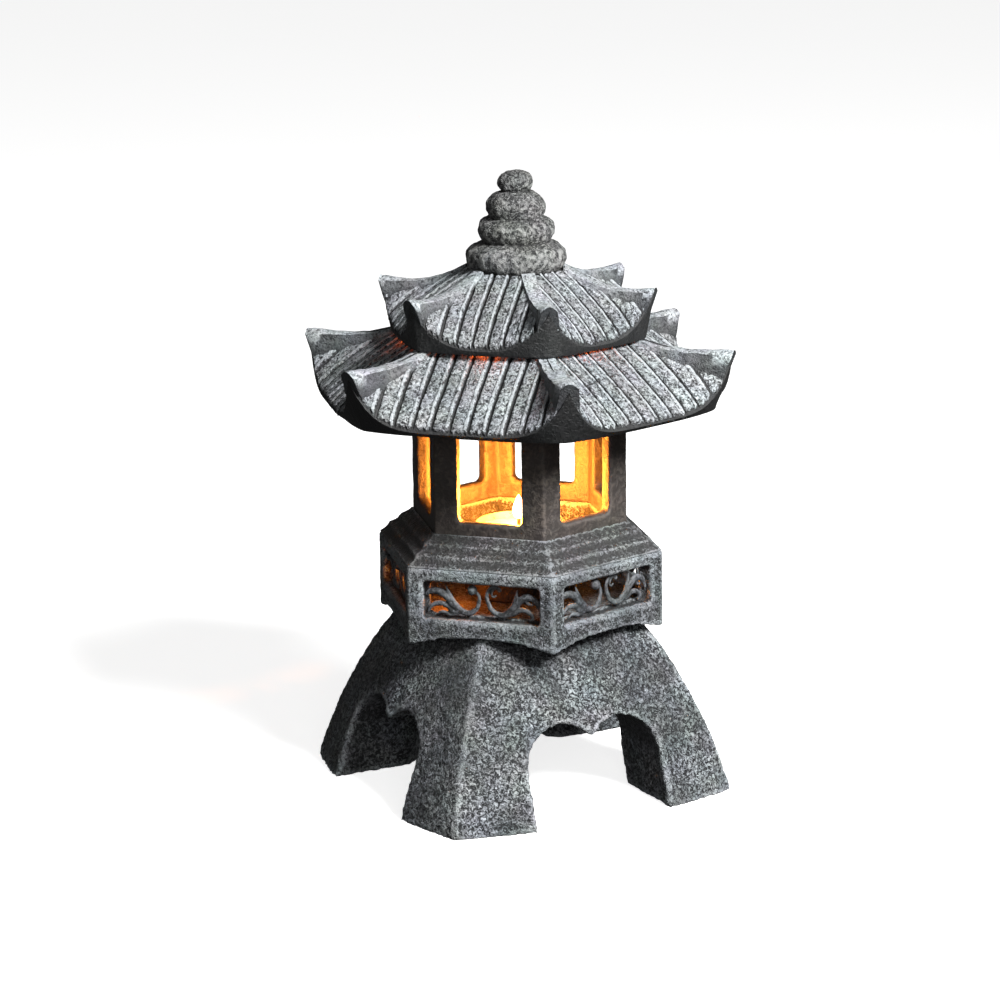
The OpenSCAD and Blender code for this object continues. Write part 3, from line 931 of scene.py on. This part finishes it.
# %% Flame colour
# Glowing soot in burning wax vapour: it gives light, so it is brighter than all around it.
glow, tree, where, shader = new_material("candle flame")
height = add_node(tree, "ShaderNodeSeparateXYZ", {"Vector": where}, out="Z")
rising = add_node(tree, "ShaderNodeMapRange", {
    "Value": height, "From Min": flame_foot, "From Max": flame_foot + FLAME_H}, out="Result")
heat = add_node(tree, "ShaderNodeValToRGB", {"Fac": rising})
heat.color_ramp.elements[0].color = linear("#ff9a3c")
heat.color_ramp.elements[1].color = linear("#ffb04a")
heart = heat.color_ramp.elements.new(0.4)
heart.color = linear("#fff6dc")
tree.links.new(heat.outputs["Color"], shader.inputs["Emission Color"])
tree.links.new(heat.outputs["Color"], shader.inputs["Base Color"])
shader.inputs["Emission Strength"].default_value = 12.0
finish_piece(flame, glow, "tealight")
flame.visible_shadow = False

# %% [markdown]
# ## Light
# The studio is pale and soft: one large light high on the right, a weak one in front, and a pale
# surround that is bright to look at but gives little light. The candle adds an orange light in
# the fire box. It leaks out through the vent and beside the plinth, where small lights stand in
# for it.

# %% Studio lights
def area_light(name, place, size, power):
    lamp = bpy.data.objects.new(name, bpy.data.lights.new(name, "AREA"))
    bpy.context.scene.collection.objects.link(lamp)
    lamp.data.shape = "DISK"
    lamp.data.size = size
    lamp.data.energy = power
    lamp.location = place
    aim = Vector(place) - Vector((0, 0, MIDDLE_Z))
    lamp.rotation_euler = aim.to_track_quat("Z", "Y").to_euler()
    return lamp


area_light("key light", (0.8, -0.5, 0.85), 0.4, 46)
area_light("front light", (0.45, -1.15, 0.5), 0.5, 3.5)


# %% Candle lights
def candle_light(name, place, radius_mm, power, colour, body):
    lamp = bpy.data.objects.new(name, bpy.data.lights.new(name, "POINT"))
    bpy.context.scene.collection.objects.link(lamp)
    lamp.data.energy = power
    lamp.data.shadow_soft_size = radius_mm * MM
    lamp.data.color = linear(colour)[:3]
    lamp.location = place
    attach(lamp, body)
    return lamp


VENT_A = 43 * MM
VENT_Z = 202.3 * MM
candle_light("candle light", (0, 0, flame_foot + 0.9 * FLAME_H), 3, 1.9, "#ff9534", "tealight")
candle_light("panel glow", in_mm(-21, -34, 91), 2, 0.03, "#ff7a24", "lantern")
for k in range(SIDES):
    candle_light(f"vent glow {k}", on_side(VENT_A, 0, VENT_Z, k), 1.5, 0.02, "#ff6420", "roof")
print(len(bpy.data.lights), "lights")

# %% Surround
world = bpy.data.worlds.new("studio")
bpy.context.scene.world = world
world.use_nodes = True
sky = world.node_tree.nodes["Background"]
sky.inputs["Color"].default_value = (1, 1, 1, 1)
seen = add_node(world.node_tree, "ShaderNodeLightPath", out="Is Camera Ray")
strength = add_node(world.node_tree, "ShaderNodeMapRange", {"Value": seen, "To Min": 0.08}, out="Result")
world.node_tree.links.new(strength, sky.inputs["Strength"])

# %% Floor
# Matt paper, lit from behind: an even, nearly white ground that takes a faint shadow.
start_clean()
bpy.ops.mesh.primitive_plane_add(size=8, location=(0, 0, cad_low[2]))
floor = bpy.context.object
floor.name = "floor"
paper, tree, where, shader = new_material("pale floor")
soft = add_node(tree, "ShaderNodeTexNoise", {"Vector": where, "Scale": 6.0}, out="Fac")
colour = add_node(tree, "ShaderNodeMix", {0: soft, 6: linear("#f1f1f0"), 7: linear("#f4f4f3")}, out=2,
                  data_type="RGBA")
tree.links.new(colour, shader.inputs["Base Color"])
shader.inputs["Roughness"].default_value = 0.9
shader.inputs["Emission Color"].default_value = linear("#ffffff")
shader.inputs["Emission Strength"].default_value = 0.8
floor.visible_diffuse = False
floor.visible_glossy = False
floor.data.materials.append(paper)
